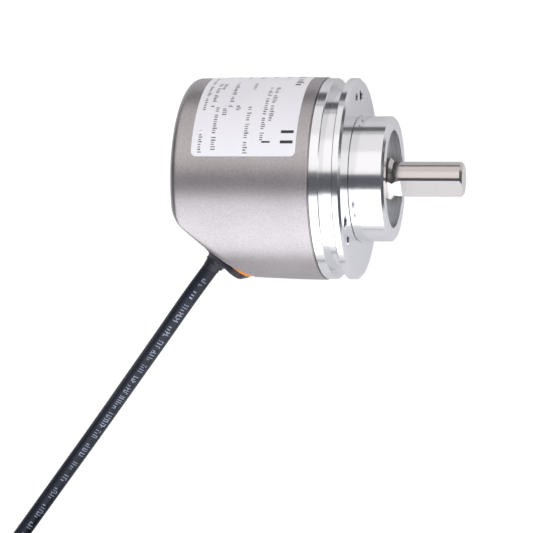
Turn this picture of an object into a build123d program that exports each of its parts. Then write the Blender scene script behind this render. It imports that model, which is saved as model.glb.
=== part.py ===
from build123d import *
import os
from math import acos, atan2, cos, degrees, pi, radians, sin, sqrt, tan

# Incremental rotary encoder, 58 mm size, clamping flange, solid shaft, angled cable outlet.
# Frame: the shaft axis is X with the shaft end at +X, the origin is the centre of the flange's
# front face, and the encoder lies on its side with +Z up. All sizes are millimetres.

os.makedirs("parts", exist_ok=True)

# ------------------------------------------------------------------ flange and collar
flange_diameter = 58.0
flange_thickness = 9.0
flange_chamfer = 0.65
edge_break = 0.2
lip_width = 2.45            # front ring that the clamping eccentrics hold
groove_width = 3.65
groove_depth = 3.0
collar_diameter = 36.0
collar_length = 10.0
collar_chamfer = 0.7
collar_relief = 0.3         # fine undercut where the collar meets the face
collar_relief_width = 0.55
bolt_circle_inset = 5.0     # bolt circle inside the flange edge
hole_count = 3
m4_minor_diameter = 3.3
m4_depth = 7.0
m3_minor_diameter = 2.5
m3_depth = 6.0
m3_turn = 15.0              # degrees from the M4 holes to the M3 holes
thread_mouth = 0.3          # countersink of each threaded hole

# ------------------------------------------------------------------ shaft
shaft_diameter = 10.0
shaft_reach = 30.0          # flange face to shaft tip
shaft_chamfer = 0.7
journal_diameter = 12.0
journal_step_x = 10.0       # where the journal has come down to the shaft diameter
journal_taper = 1.0
flat_depth = 1.0
flat_start_x = 13.0
flat_runout = 9.0           # radius of the cutter that ends the flat
flat_turn = 132.7           # degrees from +Y towards +Z
stub_diameter = 8.0
stub_overhang = 0.3         # past the disc's clamp ring
stub_chamfer = 0.4
stub_step = 0.8             # journal past the rear circlip

# ------------------------------------------------------------------ bearings
bearing_outer = 28.0
bearing_width = 8.0
bearing_front_x = 0.5
ball_diameter = 4.76
race_depth = 0.58           # depth of the ball groove in each ring
ball_count = 8
race_clearance = 0.08
cage_wall = 1.4
cage_half_width = 2.75
pocket_clearance = 0.07
shield_thickness = 0.3
shield_inset = 0.15
shield_clearance = 0.15
land_width = 2.0
land_height = 1.5
spring_gap = 1.0
spring_thickness = 0.6
spring_clearance = 0.1
boss_overhang = 0.5         # flange boss past the rear bearing
shaft_shoulder = 1.5
circlip_thickness = 1.0
circlip_depth = 0.5
circlip_width = 2.2
circlip_clearance = 0.03
circlip_gap = 3.0
circlip_end_play = 0.05

# ------------------------------------------------------------------ shaft seal
seal_front_x = 4.1
seal_length = 2.2
seal_case_wall = 0.6
seal_window = 1.6           # case to journal
seal_lip_clearance = 0.05
lip_land = 0.3              # width of the lip's edge on the journal
lip_height = 1.4
lip_slope = 1.0             # how far the lip opens at its ends
membrane_thickness = 0.7
garter_wire = 0.9
garter_seat = 0.15          # depth of the spring in the lip

# ------------------------------------------------------------------ cover
body_length = 49.0          # flange face to the rear of the cover
cover_overhang = 0.3        # cover radius over flange radius
cover_wall = 0.8
cover_gap = 0.25            # shadow gap between flange and cover
cover_corner = 2.5
spigot_length = 5.5
spigot_wall = 2.85
spigot_clearance = 0.05
oring_section = 1.4
oring_back = 3.1            # seal centre behind the flange
oring_room = 0.05
oring_side_room = 0.25
facet_drop = 17.9           # height of the 45 degree facet above the cover's underside
facet_top_radius = 8.0
facet_blend_radius = 36.0
facet_blend_turn = 12.0
facet_blend_height = 1.2
facet_toe_radius = 3.0
facet_toe_end = 0.6         # where the underside is whole again, behind the flange's spigot

# ------------------------------------------------------------------ label
label_front_x = -12.7
label_length = 29.9
label_start = -35.0         # degrees from +Y towards +Z
label_sweep = 113.1
label_thickness = 0.12
label_corner = 1.5

# ------------------------------------------------------------------ cable outlet
cable_diameter = 4.75
outlet_offset = 0.75        # outlet past the middle of the facet
gasket_thickness = 1.0
gasket_margin = 1.0
gasket_seat = 0.02
grommet_length = 19.4
grommet_width = 15.0
grommet_corner = 4.0
grommet_thickness = 2.3
grommet_edge = 1.0
bell_radius = 5.2
bell_height = 1.4
bell_mouth_radius = 3.0
mouth_height = 6.0          # outlet mouth above the facet
neck_radius = 4.2
neck_clearance = 0.05
neck_length = 4.6
nut_flats = 11.0
nut_seat = 0.15            # spring washer's height under the nut
nut_thickness = 3.0
jacket_inside = 7.0
crimp_wall = 0.7
crimp_length = 2.0
crimp_back = 0.2

# ------------------------------------------------------------------ code disc and optics
hub_radius = 9.0
hub_gap = 2.1               # rear bearing to hub
hub_length = 2.8
hub_spigot_radius = 5.6
hub_clearance = 0.02
hub_screw_radius = 1.0
hub_screw_inset = 0.3       # under the hub's rim
hub_screw_socket = 0.5
hub_socket_depth = 1.2
disc_thickness = 0.8
disc_gap = 1.3              # disc edge to standoffs
boss_margin = 0.5           # flange boss outside the disc
clamp_thickness = 1.0
slot_count = 72
slot_width = 0.6
slot_length = 2.6
track_inset = 2.8           # track radius inside the disc edge
reticle_gap = 0.5
reticle_thickness = 0.6
detector_height = 1.7
lens_gap = 0.6
led_radius = 1.5
led_length = 2.0
lens_height = 0.7
led_holder_height = 3.1
led_holder_size = (6.4, 13.4)
led_holder_corner = 1.0
led_holder_shift = 0.4      # holder's middle outside the track
led_clearance = 0.05
led_screw_side = 4.6        # screws either side of the emitter
led_screw_radius = 1.0
led_screw_head = 0.5
led_screw_slot = 0.4
lens_round = 0.56
detector_size = (6.5, 9.0)
reticle_size = (4.6, 7.6)
screw_head_ratio = 1.8

# ------------------------------------------------------------------ circuit board
board_thickness = 1.6
board_margin = 3.5          # board edge to the cover's inside
board_flat = 12.0           # flat edge that clears the cable outlet
standoff_flats = 4.0
standoff_angles = (42.0, 108.0, 252.0, 318.0)
standoff_inset = 2.2
stud_radius = 1.25
stud_length = 3.5
board_screw_head = 2.2
board_screw_height = 1.5
board_screw_length = 4.0
board_screw_socket = 0.8
board_socket_depth = 0.9
stud_clearance = 0.1
stud_end_gap = 0.5
header_size = (5.6, 19.0, 5.4)
header_wall = 0.7
header_y = 9.0
plug_height = 8.4
plug_clearance = 0.1
pin_pitch = 2.0
pin_radius = 0.25
lead_count = 8
lead_diameter = 0.8
lead_row = 0.9              # two rows of leads, each this far from the jacket's axis
lead_packing = 0.46         # from lead to lead in the jacket
lead_exit = 1.6             # straight out of the jacket's inner end
lead_bend = 0.6
lead_sweep = 3.0
lead_back = 0.5             # rise behind the jacket's end
lead_room = 1.6             # and at least this far behind the board
lead_edge_room = 1.2        # clear of the board's flat edge
lead_climb = 0.87           # rise for each millimetre that the jacket ends behind the board
lead_plug_inset = 1.6
lead_gap = 0.3
header_standoff = 1.4       # header floor and solder side, behind the board
pin_stub = 2.4              # pins end this far short of the header's mouth
plug_hole_clearance = 0.05
chips = (                   # y, z, height and width on the board's rear face
    (-4.0, -13.5, 8.0, 8.0),
    (-4.0, 12.5, 5.0, 6.0),
    (17.0, 0.0, 4.0, 5.0),
)
chip_height = 1.3
capacitor_rows = (2, 3)
capacitor_size = (2.0, 1.3, 1.2)
capacitor_y = -6.0
capacitor_pitch = 3.4
resistor_rows = (2, 6)
resistor_size = (1.6, 0.8, 0.5)
resistor_y = 2.5
resistor_pitch = (2.4, 2.2)

# ------------------------------------------------------------------ free cable and its coil
cable_first_run = 5.8       # straight out of the outlet's mouth
cable_route = (             # down to the floor and along it to the coil
    (-53.0, -37.2, -0.8),
    (-62.0, -48.1, -6.0),
    (-75.7, -63.6, -16.0),
    (-88.9, -79.1, -24.3),
    (-102.0, -96.0, -26.9),
    (-117.9, -117.7, -26.9),
)
coil_centre = (-103.1, -153.3)
coil_columns = 3            # turns side by side
coil_layers = 4             # turns one on another
coil_inner_turn = 23.4      # centre line of the innermost turn
coil_entry_angle = 143.8    # where the cable joins the outermost, lowest turn
coil_slack = 0.1
tie_thickness = 0.8
tie_width = 3.6
tie_angles = (55.0, 235.0)
tail_route = (              # from the top of the coil down to the stripped end
    (-82.1, -176.1, -12.0),
    (-66.6, -171.1, -13.5),
    (-52.6, -166.0, -22.0),
    (-41.3, -161.0, -26.8),
    (-31.4, -155.6, -26.9),
)
end_lead_length = 34.0
end_lead_spread = 2.6
end_lead_row = 0.8
end_lead_packing = 0.43
ferrule_length = 7.0
ferrule_wall = 0.25
ferrule_gap = 0.02          # under the ferrules

# ------------------------------------------------------------------ sizes that follow from these
flange_radius = flange_diameter / 2
groove_radius = flange_radius - groove_depth
collar_radius = collar_diameter / 2
bolt_circle_radius = flange_radius - bolt_circle_inset
bearing_radius = bearing_outer / 2
journal_radius = journal_diameter / 2
shaft_radius = shaft_diameter / 2
stub_radius = stub_diameter / 2
pitch_radius = (bearing_radius + journal_radius) / 2
ball_radius = ball_diameter / 2
outer_ring_bore = pitch_radius + ball_radius - race_depth
inner_ring_outer = pitch_radius - ball_radius + race_depth
cover_radius = flange_radius + cover_overhang
cover_bore = cover_radius - cover_wall
cover_front_x = -flange_thickness - cover_gap
rear_x = -body_length
spigot_radius = cover_bore - spigot_clearance
spigot_end_x = -flange_thickness - spigot_length
cable_radius = cable_diameter / 2

land_front_x = bearing_front_x - bearing_width
land_rear_x = land_front_x - land_width
rear_bearing_x = land_rear_x - spring_gap
rear_bearing_end_x = rear_bearing_x - bearing_width
boss_end_x = rear_bearing_end_x - boss_overhang
hub_front_x = rear_bearing_end_x - hub_gap
disc_front_x = hub_front_x - hub_length
disc_rear_x = disc_front_x - disc_thickness
clamp_end_x = disc_rear_x - clamp_thickness
reticle_front_x = disc_rear_x - reticle_gap
detector_front_x = reticle_front_x - reticle_thickness
board_front_x = detector_front_x - detector_height
board_rear_x = board_front_x - board_thickness
stub_end_x = clamp_end_x - stub_overhang

board_radius = cover_bore - board_margin
standoff_radius = board_radius - standoff_inset
disc_radius = standoff_radius - standoff_flats / 2 - disc_gap
boss_radius = disc_radius + boss_margin
track_radius = disc_radius - track_inset

floor_z = -cover_radius

# ------------------------------------------------------------------ helpers


def outline(*points):
    """Closed (x, radius) outline, to be turned about the shaft axis."""
    with BuildSketch(Plane.XY) as shape:
        with BuildLine():
            Polyline(*points, close=True)
        make_face()
    return shape.sketch


def band(front_x, end_x, inner, outer):
    """Outline of a plain ring between two stations and two radii."""
    return outline((front_x, inner), (front_x, outer), (end_x, outer), (end_x, inner))


def station(x):
    """Plane square to the shaft at x, with +Y to its right and +Z up."""
    return Plane.YZ.offset(x)


def around(radius, angle, x=0.0):
    """Point at a radius and an angle (from +Y towards +Z) about the shaft axis."""
    return (x, radius * cos(radians(angle)), radius * sin(radians(angle)))


# ------------------------------------------------------------------ the facet of the cover
facet_sum = body_length + cover_radius - facet_drop     # the facet is x + y = -facet_sum
facet_span = facet_drop * sqrt(2)
outlet_step = (facet_span / 2 + outlet_offset) / sqrt(2)
outlet_point = (rear_x + outlet_step, -facet_sum - rear_x - outlet_step, 0.0)
facet = Plane(origin=outlet_point, x_dir=(1, -1, 0), z_dir=(-1, -1, 0))


def on_outlet(height, along=0.0, side=0.0):
    """Point on the cable outlet's axis, a height above the facet."""
    return facet.from_local_coords((along, side, height))


def beyond_facet(gap):
    """Everything past the cover's 45 degree corner, moved out by a gap, as wide as the cover."""
    far = body_length + cover_radius
    top = (rear_x + facet_top_radius, facet_top_radius * (sqrt(2) - 1) - facet_sum - rear_x)
    turn_end = 225 + facet_blend_turn
    blend_y = facet_blend_height - cover_radius - facet_blend_radius * sin(radians(turn_end))
    blend = (facet_blend_radius * sqrt(2) - facet_sum - blend_y, blend_y)
    toe_reach = facet_blend_radius - facet_toe_radius
    toe_x = blend[0] + toe_reach * cos(radians(turn_end))
    toe = (toe_x, blend[1] + toe_reach * sin(radians(turn_end)))
    to_whole = (spigot_end_x + facet_toe_end - toe[0], -cover_radius - toe[1])
    toe_lean = acos(facet_toe_radius / sqrt(to_whole[0]**2 + to_whole[1]**2))
    toe_end = 360 + degrees(atan2(to_whole[1], to_whole[0]) - toe_lean)
    with BuildPart() as region:
        with BuildSketch(Plane.XY):
            with BuildLine():
                arc1 = CenterArc(top, facet_top_radius + gap, 180, 45)
                arc2 = CenterArc(blend, facet_blend_radius + gap, 225, facet_blend_turn)
                arc3 = CenterArc(toe, facet_toe_radius + gap, turn_end, toe_end - turn_end)
                Line(arc1 @ 1, arc2 @ 0)
                slope = -tan(radians(270 - toe_end))
                run = cover_front_x + facet_toe_radius - (arc3 @ 1).X
                toe_tip = ((arc3 @ 1).X + run, (arc3 @ 1).Y + run * slope)
                Polyline(arc3 @ 1, toe_tip, (toe_tip[0], -far), (-2 * far, -far),
                         (-2 * far, far), (rear_x - gap, far), arc1 @ 0)
            make_face()
        extrude(amount=cover_radius + 1, both=True)
    return region.part


def cup(shrink):
    """The cover's shape as a solid, made smaller all round by shrink."""
    radius = cover_radius - shrink
    end_x = rear_x + shrink
    corner = cover_corner - shrink
    with BuildPart() as body:
        with BuildSketch(Plane.XY):
            with BuildLine():
                arc = CenterArc((end_x + corner, radius - corner), corner, 90, 90)
                Polyline(arc @ 1, (end_x, 0), (cover_front_x, 0), (cover_front_x, radius), arc @ 0)
            make_face()
        revolve(axis=Axis.X)
        add(beyond_facet(-shrink), mode=Mode.SUBTRACT)
    return body.part


# ------------------------------------------------------------------ housing: flange
with BuildPart() as flange:
    groove_front = -lip_width
    groove_rear = -lip_width - groove_width
    land_radius = bearing_radius - land_height
    oring_x = -flange_thickness - oring_back
    oring_floor = spigot_radius - oring_section - oring_room
    oring_half = oring_section / 2 + oring_side_room
    revolve(outline(
        (collar_length, bearing_radius + edge_break),
        (collar_length, collar_radius - collar_chamfer),
        (collar_length - collar_chamfer, collar_radius),
        (-collar_relief, collar_radius),
        (-collar_relief, collar_radius + collar_relief_width),
        (0, collar_radius + collar_relief_width),
        (0, flange_radius - flange_chamfer),
        (-flange_chamfer, flange_radius),
        (groove_front + edge_break, flange_radius),
        (groove_front, flange_radius - edge_break),
        (groove_front, groove_radius),
        (groove_rear, groove_radius),
        (groove_rear, flange_radius - edge_break),
        (groove_rear - edge_break, flange_radius),
        (edge_break - flange_thickness, flange_radius),
        (-flange_thickness, flange_radius - edge_break),
        (-flange_thickness, spigot_radius),
        (oring_x + oring_half, spigot_radius),
        (oring_x + oring_half, oring_floor),
        (oring_x - oring_half, oring_floor),
        (oring_x - oring_half, spigot_radius),
        (spigot_end_x, spigot_radius),
        (spigot_end_x, spigot_radius - spigot_wall),
        (-flange_thickness, spigot_radius - spigot_wall),
        (-flange_thickness, boss_radius),
        (boss_end_x, boss_radius),
        (boss_end_x, bearing_radius),
        (land_rear_x, bearing_radius),
        (land_rear_x, land_radius),
        (land_front_x, land_radius),
        (land_front_x, bearing_radius),
        (collar_length - edge_break, bearing_radius),
    ), axis=Axis.X)
    for minor, depth, turn in ((m4_minor_diameter, m4_depth, 0), (m3_minor_diameter, m3_depth, m3_turn)):
        with BuildSketch(station(0)):
            with PolarLocations(bolt_circle_radius, hole_count, start_angle=turn):
                Circle(minor / 2)
        extrude(amount=-depth, mode=Mode.SUBTRACT)
        with BuildSketch(station(0)):
            with PolarLocations(bolt_circle_radius, hole_count, start_angle=turn):
                Circle(minor / 2 + thread_mouth)
        extrude(amount=-thread_mouth, taper=45, mode=Mode.SUBTRACT)
    with BuildSketch(station(-flange_thickness)):
        for angle in standoff_angles:
            with Locations(around(standoff_radius, angle)[1:]):
                Circle(stud_radius)
    extrude(amount=stud_length, mode=Mode.SUBTRACT)
flange.part.label = "flange"
export_step(flange.part, "parts/flange.step")

# ------------------------------------------------------------------ housing: cover
with BuildPart() as cover:
    add(cup(0))
    add(cup(cover_wall), mode=Mode.SUBTRACT)
    with BuildSketch(facet.offset(1)):
        Circle(neck_radius + neck_clearance)
    extrude(amount=-cover_wall - 3, mode=Mode.SUBTRACT)
cover.part.label = "cover"
export_step(cover.part, "parts/cover.step")

# ------------------------------------------------------------------ housing: O-ring and label
with BuildPart() as cover_seal:
    seal_ring_radius = cover_bore - oring_section / 2
    with BuildSketch(Plane.XY):
        with Locations((-flange_thickness - oring_back, seal_ring_radius - oring_room / 2)):
            Circle(oring_section / 2)
    revolve(axis=Axis.X)
cover_seal.part.label = "cover_seal"
export_step(cover_seal.part, "parts/cover_seal.step")

label_plane = Plane(origin=(0, 0, 0), x_dir=(1, 0, 0), z_dir=around(1, label_start + 90))
with BuildPart() as label:
    with BuildSketch(label_plane):
        with Locations((label_front_x - label_length / 2, cover_radius + label_thickness / 2)):
            Rectangle(label_length, label_thickness)
    revolve(axis=Axis.X, revolution_arc=label_sweep)
    fillet(label.edges().filter_by(lambda edge: edge.length < 2 * label_thickness), label_corner)
label.part.label = "label"
export_step(label.part, "parts/label.step")

# ------------------------------------------------------------------ housing: cable outlet


def layer(low, high, margin):
    """Plate on the cover's corner, between two heights, that follows the facet's curve."""
    with BuildPart() as plate:
        with BuildSketch(facet.offset(high + 2)):
            RectangleRounded(grommet_length + 2 * margin, grommet_width + 2 * margin,
                             grommet_corner + margin)
        extrude(amount=-high - 6)
        add(beyond_facet(low), mode=Mode.INTERSECT)
        add(beyond_facet(high), mode=Mode.SUBTRACT)
    return plate.part


with BuildPart() as grommet_seal:
    add(layer(gasket_seat, gasket_thickness, gasket_margin))
    with BuildSketch(facet.offset(gasket_thickness + 1)):
        Circle(neck_radius + neck_clearance)
    extrude(amount=-gasket_thickness - 4, mode=Mode.SUBTRACT)
grommet_seal.part.label = "grommet_seal"
export_step(grommet_seal.part, "parts/grommet_seal.step")

grommet_top = gasket_thickness + grommet_thickness
with BuildPart() as cable_grommet:
    add(layer(gasket_thickness, grommet_top, 0))
    fillet(
        cable_grommet.faces().sort_by(Axis(outlet_point, facet.z_dir))[-1].edges(), grommet_edge)
    with BuildSketch(facet.offset(grommet_top - 0.5)):
        Circle(bell_radius)
    with BuildSketch(facet.offset(grommet_top + bell_height)):
        Circle(bell_mouth_radius + 0.5)
    loft()
    with BuildSketch(facet.offset(grommet_top)):
        Circle(bell_mouth_radius)
    extrude(amount=mouth_height - grommet_top)
    with BuildSketch(facet.offset(gasket_thickness + 1)):
        Circle(neck_radius)
    extrude(amount=-gasket_thickness - 1 - neck_length)
    with BuildSketch(facet.offset(mouth_height)):
        Circle(cable_radius)
    extrude(amount=-mouth_height - neck_length - 1, mode=Mode.SUBTRACT)
cable_grommet.part.label = "cable_grommet"
export_step(cable_grommet.part, "parts/cable_grommet.step")

with BuildPart() as grommet_nut:
    with BuildSketch(facet.offset(-cover_wall - nut_seat)):
        RegularPolygon(nut_flats / 2, 6, major_radius=False)
        Circle(neck_radius + neck_clearance, mode=Mode.SUBTRACT)
    extrude(amount=-nut_thickness)
grommet_nut.part.label = "grommet_nut"
export_step(grommet_nut.part, "parts/grommet_nut.step")

with BuildPart() as cable_entry:
    with BuildSketch(facet.offset(mouth_height)):
        Circle(cable_radius)
    extrude(amount=-mouth_height - jacket_inside)
cable_entry.part.label = "cable_entry"
export_step(cable_entry.part, "parts/cable_entry.step")

with BuildPart() as cable_crimp_ring:
    with BuildSketch(facet.offset(-neck_length - crimp_back)):
        Circle(cable_radius + crimp_wall)
        Circle(cable_radius, mode=Mode.SUBTRACT)
    extrude(amount=-crimp_length)
cable_crimp_ring.part.label = "cable_crimp_ring"
export_step(cable_crimp_ring.part, "parts/cable_crimp_ring.step")

# ------------------------------------------------------------------ housing: shaft seal
seal_end_x = seal_front_x - seal_length
case_bore = bearing_radius - seal_case_wall
with BuildPart() as seal_case:
    revolve(outline(
        (seal_front_x, journal_radius + seal_window),
        (seal_front_x, bearing_radius),
        (seal_end_x, bearing_radius),
        (seal_end_x, case_bore),
        (seal_front_x - seal_case_wall, case_bore),
        (seal_front_x - seal_case_wall, journal_radius + seal_window),
    ), axis=Axis.X)
seal_case.part.label = "seal_case"
export_step(seal_case.part, "parts/seal_case.step")

lip_bore = journal_radius + seal_lip_clearance
lip_back = lip_bore + lip_height
lip_root_x = seal_front_x - seal_case_wall
lip_x = (lip_root_x + seal_end_x) / 2
membrane_x = lip_root_x - membrane_thickness
garter_place = (seal_end_x + garter_wire / 2, lip_back + garter_wire / 2 - garter_seat)
with BuildPart() as seal_lip:
    revolve(outline(
        (lip_root_x, case_bore),
        (lip_root_x, lip_bore + lip_slope),
        (lip_x + lip_land / 2, lip_bore),
        (lip_x - lip_land / 2, lip_bore),
        (seal_end_x, lip_bore + lip_slope),
        (seal_end_x, lip_back),
        (membrane_x, lip_back),
        (membrane_x, case_bore - membrane_thickness),
        (seal_end_x, case_bore - membrane_thickness),
        (seal_end_x, case_bore),
    ), axis=Axis.X)
    with BuildSketch(Plane.XY):
        with Locations(garter_place):
            Circle(garter_wire / 2)
    revolve(axis=Axis.X, mode=Mode.SUBTRACT)
seal_lip.part.label = "seal_lip"
export_step(seal_lip.part, "parts/seal_lip.step")

with BuildPart() as seal_garter_spring:
    with BuildSketch(Plane.XY):
        with Locations(garter_place):
            Circle(garter_wire / 2)
    revolve(axis=Axis.X)
seal_garter_spring.part.label = "seal_garter_spring"
export_step(seal_garter_spring.part, "parts/seal_garter_spring.step")

# ------------------------------------------------------------------ bearings: fixed pieces
race_minor = ball_radius + race_clearance


def race(front_x):
    """Ball groove of a bearing, to be cut from both of its rings."""
    with BuildSketch(Plane.XY) as groove:
        with Locations((front_x - bearing_width / 2, pitch_radius)):
            Circle(race_minor)
    return groove.sketch


with BuildPart() as front_bearing_outer_ring:
    revolve(band(bearing_front_x, land_front_x, outer_ring_bore, bearing_radius), axis=Axis.X)
    revolve(race(bearing_front_x), axis=Axis.X, mode=Mode.SUBTRACT)
front_bearing_outer_ring.part.label = "front_bearing_outer_ring"
export_step(front_bearing_outer_ring.part, "parts/front_bearing_outer_ring.step")

with BuildPart() as rear_bearing_outer_ring:
    revolve(band(rear_bearing_x, rear_bearing_end_x, outer_ring_bore, bearing_radius), axis=Axis.X)
    revolve(race(rear_bearing_x), axis=Axis.X, mode=Mode.SUBTRACT)
rear_bearing_outer_ring.part.label = "rear_bearing_outer_ring"
export_step(rear_bearing_outer_ring.part, "parts/rear_bearing_outer_ring.step")


def shields(front_x):
    """Outlines of a bearing's two dust shields."""
    inner = inner_ring_outer + shield_clearance
    near = front_x - shield_inset
    far = front_x - bearing_width + shield_inset + shield_thickness
    return [band(x, x - shield_thickness, inner, outer_ring_bore) for x in (near, far)]


with BuildPart() as front_bearing_shields:
    for shield in shields(bearing_front_x):
        revolve(shield, axis=Axis.X)
front_bearing_shields.part.label = "front_bearing_shields"
export_step(front_bearing_shields.part, "parts/front_bearing_shields.step")

with BuildPart() as rear_bearing_shields:
    for shield in shields(rear_bearing_x):
        revolve(shield, axis=Axis.X)
rear_bearing_shields.part.label = "rear_bearing_shields"
export_step(rear_bearing_shields.part, "parts/rear_bearing_shields.step")

with BuildPart() as preload_wave_spring:
    spring_room = (spring_gap - spring_thickness) / 2
    revolve(band(land_rear_x - spring_room, rear_bearing_x + spring_room,
                 bearing_radius - land_height, bearing_radius - spring_clearance), axis=Axis.X)
preload_wave_spring.part.label = "preload_wave_spring"
export_step(preload_wave_spring.part, "parts/preload_wave_spring.step")

# ------------------------------------------------------------------ housing: circuit board
with BuildPart() as circuit_board:
    with BuildSketch(station(board_front_x)):
        Circle(board_radius)
        with Locations((-board_flat - board_radius, 0)):
            Rectangle(2 * board_radius, 2 * board_radius, mode=Mode.SUBTRACT)
        for angle in standoff_angles:
            with Locations(around(standoff_radius, angle)[1:]):
                Circle(stud_radius + stud_clearance, mode=Mode.SUBTRACT)
    extrude(amount=-board_thickness)
circuit_board.part.label = "circuit_board"
export_step(circuit_board.part, "parts/circuit_board.step")

with BuildPart() as standoffs:
    with BuildSketch(station(board_front_x)):
        for angle in standoff_angles:
            with Locations(around(standoff_radius, angle)[1:]):
                RegularPolygon(standoff_flats / 2, 6, major_radius=False)
    extrude(amount=-flange_thickness - board_front_x)
    with BuildSketch(station(-flange_thickness)):
        for angle in standoff_angles:
            with Locations(around(standoff_radius, angle)[1:]):
                Circle(stud_radius)
    extrude(amount=stud_length - stud_end_gap)
    with BuildSketch(station(board_front_x)):
        for angle in standoff_angles:
            with Locations(around(standoff_radius, angle)[1:]):
                Circle(stud_radius)
    extrude(amount=board_screw_length, mode=Mode.SUBTRACT)
standoffs.part.label = "standoffs"
export_step(standoffs.part, "parts/standoffs.step")

with BuildPart() as board_screws:
    with BuildSketch(station(board_rear_x)):
        for angle in standoff_angles:
            with Locations(around(standoff_radius, angle)[1:]):
                Circle(board_screw_head)
    extrude(amount=-board_screw_height)
    with BuildSketch(station(board_rear_x)):
        for angle in standoff_angles:
            with Locations(around(standoff_radius, angle)[1:]):
                Circle(stud_radius)
    extrude(amount=board_thickness + board_screw_length - stud_end_gap)
    with BuildSketch(station(board_rear_x - board_screw_height)):
        for angle in standoff_angles:
            with Locations(around(standoff_radius, angle)[1:]):
                RegularPolygon(board_screw_socket, 6)
    extrude(amount=board_socket_depth, mode=Mode.SUBTRACT)
board_screws.part.label = "board_screws"
export_step(board_screws.part, "parts/board_screws.step")

with BuildPart() as board_chips:
    for y, z, height, width in chips:
        with BuildSketch(station(board_rear_x)):
            with Locations((y, z)):
                Rectangle(height, width)
        extrude(amount=-chip_height)
board_chips.part.label = "board_chips"
export_step(board_chips.part, "parts/board_chips.step")

with BuildPart() as board_capacitors:
    with BuildSketch(station(board_rear_x)):
        with Locations((capacitor_y, 0)):
            with GridLocations(capacitor_pitch, capacitor_pitch, *capacitor_rows):
                Rectangle(*capacitor_size[:2])
    extrude(amount=-capacitor_size[2])
board_capacitors.part.label = "board_capacitors"
export_step(board_capacitors.part, "parts/board_capacitors.step")

with BuildPart() as board_resistors:
    with BuildSketch(station(board_rear_x)):
        with Locations((resistor_y, 0)):
            with GridLocations(*resistor_pitch, *resistor_rows):
                Rectangle(*resistor_size[:2])
    extrude(amount=-resistor_size[2])
board_resistors.part.label = "board_resistors"
export_step(board_resistors.part, "parts/board_resistors.step")

header_tall, header_wide, header_deep = header_size
with BuildPart() as board_header:
    with BuildSketch(station(board_rear_x)):
        with Locations((header_y, 0)):
            Rectangle(header_tall, header_wide)
    extrude(amount=-header_deep)
    with BuildSketch(station(board_rear_x - header_standoff)):
        with Locations((header_y, 0)):
            Rectangle(header_tall - 2 * header_wall, header_wide - 2 * header_wall)
    extrude(amount=-header_deep, mode=Mode.SUBTRACT)
board_header.part.label = "board_header"
export_step(board_header.part, "parts/board_header.step")

with BuildPart() as header_pins:
    with BuildSketch(station(board_rear_x - header_standoff)):
        with Locations((header_y, 0)):
            with GridLocations(0, pin_pitch, 1, lead_count):
                Circle(pin_radius)
    extrude(amount=pin_stub - header_deep)
header_pins.part.label = "header_pins"
export_step(header_pins.part, "parts/header_pins.step")

plug_front_x = board_rear_x - header_standoff - plug_clearance
plug_end_x = plug_front_x - plug_height
with BuildPart() as wire_plug:
    plug_trim = 2 * header_wall + 2 * plug_clearance
    with BuildSketch(station(plug_front_x)):
        with Locations((header_y, 0)):
            Rectangle(header_tall - plug_trim, header_wide - plug_trim)
            with GridLocations(0, pin_pitch, 1, lead_count):
                Circle(pin_radius + plug_hole_clearance, mode=Mode.SUBTRACT)
    extrude(amount=-plug_height)
wire_plug.part.label = "wire_plug"
export_step(wire_plug.part, "parts/wire_plug.step")

plug_side_y = header_y - (header_tall - plug_trim) / 2
jacket_end = on_outlet(-jacket_inside)
lead_rise_x = min(jacket_end.X - lead_back, board_rear_x - lead_room)
lead_rise_y = lead_climb * max(board_rear_x - jacket_end.X, 0) - board_flat - lead_edge_room
with BuildPart() as inner_leads:
    for count in range(lead_count):
        place = count - (lead_count - 1) / 2
        side = lead_row if count % 2 else -lead_row
        start = on_outlet(-jacket_inside, side, place * lead_packing)
        way_out = on_outlet(-jacket_inside - lead_exit, side, place * lead_packing)
        rise = Vector(lead_rise_x + side / 2, lead_rise_y, way_out.Z)
        end = Vector(plug_end_x + lead_plug_inset, plug_side_y - lead_gap, place * pin_pitch)
        with BuildLine() as lead_path:
            FilletPolyline(start, way_out, rise, end, radius=[lead_bend, lead_sweep])
        with BuildSketch(lead_path.line ^ 0):
            Circle(lead_diameter / 2)
        sweep(path=lead_path.line)
inner_leads.part.label = "inner_leads"
export_step(inner_leads.part, "parts/inner_leads.step")

# ------------------------------------------------------------------ housing: optics
with BuildPart() as led_holder:
    with BuildSketch(station(boss_end_x)):
        with Locations((track_radius + led_holder_shift, 0)):
            RectangleRounded(*led_holder_size, led_holder_corner)
        with Locations((track_radius, 0)):
            Circle(led_radius + led_clearance, mode=Mode.SUBTRACT)
        with Locations((track_radius, -led_screw_side), (track_radius, led_screw_side)):
            Circle(led_screw_radius, mode=Mode.SUBTRACT)
    extrude(amount=-led_holder_height)
led_holder.part.label = "led_holder"
export_step(led_holder.part, "parts/led_holder.step")

with BuildPart() as led_emitter:
    with BuildSketch(station(boss_end_x)):
        with Locations((track_radius, 0)):
            Circle(led_radius)
    extrude(amount=-led_length)
led_emitter.part.label = "led_emitter"
export_step(led_emitter.part, "parts/led_emitter.step")

with BuildPart() as led_lens:
    with BuildSketch(station(boss_end_x - led_length)):
        with Locations((track_radius, 0)):
            Circle(led_radius)
    extrude(amount=-lens_height)
    fillet(led_lens.edges().sort_by(Axis.X)[0], lens_round)
led_lens.part.label = "led_lens"
export_step(led_lens.part, "parts/led_lens.step")

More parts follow.
